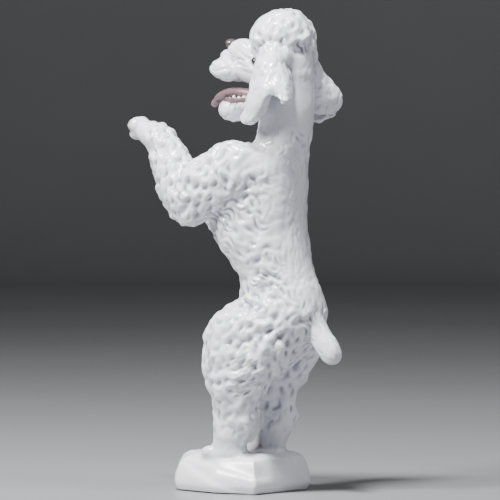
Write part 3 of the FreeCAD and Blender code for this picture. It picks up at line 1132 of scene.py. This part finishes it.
def nose_form():
    """Broad pad with two nostrils pressed into its front."""
    points, faces = ellipsoid(NOSE, NOSE_RADII, FACE_PITCH)
    points[:, 0] *= 1 + 0.1 * np.sin(points[:, 2] - NOSE[2])
    for side in (LEFT, RIGHT):
        points[:, 1] += NOSTRIL_DEPTH * bump_at(points, mirrored(NOSTRIL, side), NOSTRIL_RADIUS)
    split = np.exp(-(points[:, 0] / NOSE_SPLIT_WIDTH) ** 2) * (points[:, 1] < NOSE[1])
    points[:, 1] += NOSE_SPLIT_DEPTH * split
    return points, faces


def tongue_form():
    """Tongue with a furrow down its middle, curling over the lower lip."""
    points, faces = tube(TONGUE, around=64, steps=10, bulge=0.7, power=2.3)
    x, y, z = points.T
    top = smoothstep(z, *TONGUE_TOP) + (y < TONGUE_BEND) * smoothstep(y, *TONGUE_TIP)
    furrow = np.exp(-(x / FURROW_WIDTH) ** 2) * np.clip(top, 0, 1)
    points[:, 2] -= FURROW_DEPTH * furrow
    points[:, 1] += FURROW_PUSH * furrow * smoothstep(y, *TONGUE_PUSHED)
    return points, faces


def gum_path():
    """Points round the lower jaw, from one corner of the mouth to the other."""
    left = [np.array(p, float) for p in GUM]
    right = [p * (-1, 1, 1) for p in left[-2::-1]]
    return smooth_path(left + right, 8)


def tooth_forms():
    """Gum ridge with its row of small teeth, longer at the corners of the jaw."""
    path = gum_path()
    forms = [ellipsoid(p, GUM_RADII, 0, 16, 10) for p in path]
    step = np.linalg.norm(np.diff(path, axis=0), axis=1)
    run = np.concatenate([[0], np.cumsum(step)])
    for i in range(TOOTH_COUNT):
        at = run[-1] * (i + 0.5) / TOOTH_COUNT
        x, y, z = [np.interp(at, run, path[:, k]) for k in range(3)]
        radii = FANG_RADII if i in (FANG_PLACE, TOOTH_COUNT - 1 - FANG_PLACE) else TOOTH_RADII
        forms.append(ellipsoid((x, y, z + TOOTH_LIFT), radii, 0, 20, 14))
    return forms


def eye_form(side):
    """Painted eye, long from corner to corner."""
    points, faces = ellipsoid((0, 0, 0), EYE_RADII)
    out = np.array(EYE_FACING) * (side, 1, 1)
    turn = math.atan2(out[1], out[0])
    x = points[:, 0] * math.cos(turn) - points[:, 1] * math.sin(turn)
    y = points[:, 0] * math.sin(turn) + points[:, 1] * math.cos(turn)
    sunk = np.array(mirrored(EYE, side)) - out * EYE_SUNK
    return np.column_stack([x, y, points[:, 2]]) + sunk, faces


# ---------------- glazes
class Paint:
    """A new material, and short ways to add nodes to it."""

    def __init__(self, name):
        self.material = bpy.data.materials.new(name)
        self.material.use_nodes = True
        self.tree = self.material.node_tree

    def put(self, socket, value):
        """Links a socket to another one, or gives it a colour or a number."""
        if isinstance(value, bpy.types.NodeSocket):
            self.tree.links.new(value, socket)
        elif isinstance(value, tuple):
            socket.default_value = (*value, 1.0)
        else:
            socket.default_value = value

    def add(self, kind, inputs, **settings):
        node = self.tree.nodes.new(kind)
        for key, value in settings.items():
            setattr(node, key, value)
        for name, value in inputs.items():
            self.put(node.inputs[name], value)
        return node

    def place(self):
        """The object's own space, so that a pattern runs on across neighbouring pieces."""
        return self.add("ShaderNodeTexCoord", {}).outputs["Object"]

    def noise(self, scale, detail=4.0, roughness=0.55):
        inputs = {"Vector": self.place(), "Scale": scale, "Detail": detail, "Roughness": roughness}
        return self.add("ShaderNodeTexNoise", inputs).outputs["Fac"]

    def ramp(self, value, *stops):
        """Maps a value through (position, colour or grey) stops."""
        node = self.add("ShaderNodeValToRGB", {"Fac": value})
        for element, (position, colour) in zip(node.color_ramp.elements, stops):
            element.position = position
            element.color = (*colour, 1.0) if isinstance(colour, tuple) else (colour, colour, colour, 1.0)
        return node.outputs["Color"]

    def mixed(self, factor, first, second, blend="MIX"):
        node = self.add("ShaderNodeMix", {"Factor": factor}, data_type="RGBA", blend_type=blend)
        colours = [socket for socket in node.inputs if socket.type == "RGBA"]
        self.put(colours[0], first)
        self.put(colours[1], second)
        return [socket for socket in node.outputs if socket.type == "RGBA"][0]

    def mark(self, name):
        """A value stored on the points of the mesh."""
        return self.add("ShaderNodeAttribute", {}, attribute_name=name).outputs["Fac"]

    def bump(self, height, strength, distance):
        inputs = {"Height": height, "Strength": strength, "Distance": distance}
        return self.add("ShaderNodeBump", inputs).outputs["Normal"]

    def finished(self, inputs):
        """The material, once its surface has these inputs."""
        for name, value in inputs.items():
            self.put(self.tree.nodes["Principled BSDF"].inputs[name], value)
        return self.material


def glaze(name, base, shade, pool_and_shade, gloss=(0.14, 0.26), coat=0.12):
    """Fired glaze: faint mottling, thin on the ridges, and pooled in the cuts, where the pooled colour is
    dark enough to be painted shade.
    """
    paint = Paint(name)
    cloud = paint.ramp(paint.noise(scale=45.0, detail=3.0), (0.3, base), (0.75, shade))
    speck = paint.ramp(paint.noise(scale=900.0, detail=2.0), (0.2, 0.97), (0.75, 1.0))
    body = paint.mixed(1.0, cloud, speck, "MULTIPLY")
    # Painted shade as well as pooled glaze: the deeper a cut, the more its colour turns to the dark pooled
    # colour.
    pooled_shade = paint.ramp(paint.mark("groove"), (0.04, 0.0), (0.5, 0.9))
    body = paint.mixed(pooled_shade, body, pool_and_shade)
    return paint.finished({
        "Base Color": paint.mixed(paint.mark("blush"), body, BLUSH),
        "Roughness": paint.ramp(paint.noise(scale=160.0), (0.3, gloss[0]), (0.75, gloss[1])),
        "IOR": 1.5,
        "Coat Weight": 0.3,
        "Coat Roughness": coat,
        "Normal": paint.bump(paint.noise(scale=420.0, detail=3.0), strength=0.25, distance=0.0003),
    })


def enamel(name, low, high, gloss=(0.14, 0.28), scale=260.0):
    """Coloured enamel under a clear glaze, brushed on a little unevenly."""
    paint = Paint(name)
    brushed = paint.noise(scale, detail=5.0, roughness=0.65)
    return paint.finished({
        "Base Color": paint.ramp(brushed, (0.3, low), (0.7, high)),
        "Roughness": paint.ramp(paint.noise(scale=500.0), (0.3, gloss[0]), (0.7, gloss[1])),
        "Coat Weight": 0.5,
        "Coat Roughness": 0.05,
        "Normal": paint.bump(paint.noise(scale=700.0), strength=0.3, distance=0.0002),
    })


def teeth_glaze():
    """Ivory teeth above a brown-pink gum."""
    paint = Paint("teeth_glaze")
    height = paint.add("ShaderNodeSeparateXYZ", {"Vector": paint.place()}).outputs["Z"]
    line = BASE[2] + (GUM[0][2] + 0.35) * UNIT
    level = paint.add("ShaderNodeMapRange",
                      {"Value": height, "From Min": line - 0.0004, "From Max": line + 0.0005})
    gum = paint.ramp(paint.noise(scale=400.0), (0.3, (0.13, 0.075, 0.075)), (0.7, (0.23, 0.14, 0.14)))
    ivory = paint.ramp(paint.noise(scale=500.0), (0.3, (0.45, 0.42, 0.40)), (0.7, (0.57, 0.54, 0.53)))
    return paint.finished({
        "Base Color": paint.mixed(level.outputs["Result"], gum, ivory),
        "Roughness": paint.ramp(paint.noise(scale=300.0), (0.3, 0.1), (0.7, 0.2)),
        "Coat Weight": 0.5,
    })


# Colours of the brown oxide, and of each glaze: its base, its mottling, and where it pools, dark enough in
# the cuts to be painted shade.
BLUSH = (0.28, 0.20, 0.18)
PORCELAIN = glaze("porcelain", (0.80, 0.80, 0.85), (0.755, 0.76, 0.825), (0.27, 0.28, 0.375))
ROCK = glaze("rock_glaze", (0.83, 0.83, 0.865), (0.80, 0.80, 0.845), (0.50, 0.51, 0.58), (0.2, 0.32), 0.24)
TONGUE_GLAZE = enamel("tongue_glaze", (0.21, 0.125, 0.14), (0.33, 0.21, 0.23))
NOSE_GLAZE = enamel("nose_glaze", (0.055, 0.042, 0.042), (0.12, 0.095, 0.095))
EYE_GLAZE = enamel("eye_glaze", (0.012, 0.010, 0.012), (0.03, 0.022, 0.02), (0.05, 0.1))
TEETH_GLAZE = teeth_glaze()


# Brown oxide: on the left paw's claws, the muzzle and its creases, in the folds of the arm, on
# the far hind paw, the upper lip, the ears and the tail.  Point, radius, strength.
BLUSHES = [
    ((23.0, -59.0, 198.4), 2.1, 1.0), ((23.4, -58.6, 194.0), 2.1, 1.0),
    ((7, 2, 236), 4.0, 0.3), ((9, 8, 231.5), 4.0, 0.38), ((8.5, 3, 229.5), 3.0, 0.3),
    ((24, 24, 160), 3.2, 0.3), ((25, 14, 150), 3.0, 0.3), ((15, 10, 176), 4.5, 0.25),
    ((-9, 3, 22.5), 5.0, 0.5), ((-11, -5, 22), 4.0, 0.35), ((0, -9.5, 237.5), 3.0, 0.4),
    ((22, 30, 212), 5.0, 0.1), ((-23, 40, 208), 4.0, 0.12), ((2, 60, 72), 4.0, 0.2),
]


# Claws, placed as the toes are, and the radius and strength of their tint.
HIND_CLAW_GAP, HIND_CLAW_REACH, HIND_CLAW_UP = 3.9, 11.0, 0.6
CLAW_UP, CLAW_DROP = 2.6, 1.0
CLAW_REACH, CLAW_LAG = 6.4, 0.6
CLAW_RADIUS, CLAW_TINT = 1.3, 0.9


def claw_points():
    """Where the claws sit on each paw."""
    spots = []
    for rows in (LEFT_FOREARM, RIGHT_FOREARM):
        tip, up, out = paw_tip(rows)
        for toe in TOES:
            rise, reach = CLAW_UP - CLAW_DROP * abs(toe), CLAW_REACH - CLAW_LAG * abs(toe)
            spots.append(tip + (toe * FORE_TOE_GAP, 0, 0) + up * rise + out * reach)
    for side in (LEFT, RIGHT):
        for toe in TOES:
            ahead = HIND_TOE_LAG * abs(toe) - HIND_CLAW_REACH
            spots.append(np.array(hind_place(side)) + (toe * HIND_CLAW_GAP, ahead, HIND_CLAW_UP))
    return spots


def blush_of(points):
    """How much brown oxide shows at each point."""
    total = np.zeros(len(points))
    claws = [(claw, CLAW_RADIUS, CLAW_TINT) for claw in claw_points()]
    for centre, radius, strength in BLUSHES + claws:
        total = np.maximum(total, strength * bump_at(points, centre, radius))
    return total


def finish_piece(obj, node, material):
    """Puts a piece in place of its CAD node, with the given material."""
    obj.data.materials.clear()
    obj.data.materials.append(material)
    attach(obj, "root")
    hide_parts(node)


def build_skin():
    """The white body, one piece for each CAD node."""
    parts = named_parts()
    points, quads = whole_skin(parts)
    points, names, labels, groove = sculpt(points, quads, parts)
    normals = normals_of(points, quads)
    marks = {"groove": groove, "blush": blush_of(points)}
    owner = face_owners(labels, names, quads)
    for i, node in enumerate(names):
        piece = skin_piece(node + "_glazed", points, quads[owner == i], normals, marks)
        finish_piece(piece, node, ROCK if node == "plinth" else PORCELAIN)


def build_small_pieces():
    """Nose, tongue, teeth and eyes."""
    finish_piece(soft_form("nose_pad", [nose_form()], voxel=0.25), "nose", NOSE_GLAZE)
    tongue = soft_form("tongue_curled", [tongue_form()], voxel=0.4, rounds=3)
    finish_piece(tongue, "tongue", TONGUE_GLAZE)
    finish_piece(soft_form("teeth_row", tooth_forms(), voxel=0.3), "lower_teeth", TEETH_GLAZE)
    for side, name in ((LEFT, "left_eye"), (RIGHT, "right_eye")):
        finish_piece(soft_form(name, [eye_form(side)], voxel=0.2), "skull", EYE_GLAZE)


# ---------------- set
VIEW = math.radians(125.0)
MIDDLE = BASE[2] + DESIGN_HEIGHT * UNIT / 2
# Radius of the wall round the floor, its height, and the radius of the sweep between them, in m.
WALL, WALL_HEIGHT, SWEEP = 3.3, 2.6, 0.6
# Camera: distance, its height, the height it looks at and how far to the side, in m; lens in mm.
CAMERA_DISTANCE, CAMERA_HEIGHT, AIM_HEIGHT, AIM_RIGHT, LENS = 2.3, 0.205, 0.1293, 0.004, 308.0


def backdrop():
    """Round floor that sweeps up into a wall well outside the camera."""
    around = 96
    turn = np.linspace(0, math.pi / 2, 13)
    profile = [(0.8, 0.0), (1.8, 0.0), (WALL - SWEEP, 0.0)]
    profile += [(WALL - SWEEP + SWEEP * math.sin(t), SWEEP * (1 - math.cos(t))) for t in turn[1:]]
    profile.append((WALL, WALL_HEIGHT))
    heading = np.linspace(0, 2 * math.pi, around, endpoint=False)
    points = [tuple(BASE)]
    for reach, up in profile:
        points += [tuple(BASE + (reach * math.cos(h), reach * math.sin(h), up)) for h in heading]
    faces = [(0, 1 + j, 1 + (j + 1) % around) for j in range(around)]
    faces += band_faces(around, len(profile), first=1)
    obj = make_object("floor_sweep", points, faces)
    smooth_shaded(obj.data)
    paper = Paint("floor_paper")
    tone = paper.ramp(paper.noise(scale=3.0), (0.3, (0.225, 0.23, 0.24)), (0.7, (0.245, 0.25, 0.26)))
    obj.data.materials.append(paper.finished({"Base Color": tone, "Roughness": 0.45}))


def aimed(obj, place, target):
    """Puts a lamp or the camera in the scene, looking at the target."""
    obj.location = place
    obj.rotation_euler = (Vector(target) - Vector(place)).to_track_quat("-Z", "Y").to_euler()
    bpy.context.scene.collection.objects.link(obj)


def soft_light(name, azimuth, height, distance, size, power, colour):
    """A soft box, placed round the camera's direction in degrees."""
    light = bpy.data.lights.new(name, "AREA")
    light.shape = "RECTANGLE"
    light.size, light.size_y = size
    light.energy = power
    light.color = colour
    turn = VIEW + math.radians(azimuth)
    place = (distance * math.sin(turn), -distance * math.cos(turn), height)
    aimed(bpy.data.objects.new(name, light), place, (0, 0, MIDDLE))


def lights():
    """Box almost overhead, a key on the left of the view, a weak one on the right, a dim sky."""
    soft_light("overhead", -30, 1.2, 0.42, (0.2, 0.2), 34.0, (1.0, 1.0, 1.0))
    soft_light("key", -58, 0.84, 0.9, (0.2, 0.3), 24.0, (1.0, 0.99, 0.98))
    soft_light("rim", 62, 0.95, 0.75, (0.25, 0.35), 5.0, (0.97, 0.985, 1.0))
    world = bpy.data.worlds.new("studio")
    bpy.context.scene.world = world
    world.use_nodes = True
    sky = world.node_tree.nodes["Background"]
    sky.inputs["Color"].default_value = (0.8, 0.82, 0.86, 1)
    sky.inputs["Strength"].default_value = 0.016


def camera():
    """Long lens on the dog's left and a little behind it, level with its shoulders."""
    data = bpy.data.cameras.new("camera")
    data.lens = LENS
    data.dof.use_dof = False
    out = np.array([math.sin(VIEW), -math.cos(VIEW), 0])
    right = np.array([math.cos(VIEW), math.sin(VIEW), 0])
    scale = UNIT / 0.001
    place = BASE + (out * CAMERA_DISTANCE + (0, 0, CAMERA_HEIGHT)) * scale
    target = BASE + (right * AIM_RIGHT + (0, 0, AIM_HEIGHT)) * scale
    obj = bpy.data.objects.new("camera", data)
    aimed(obj, tuple(place), tuple(target))
    bpy.context.scene.camera = obj


build_skin()
build_small_pieces()
backdrop()
lights()
camera()
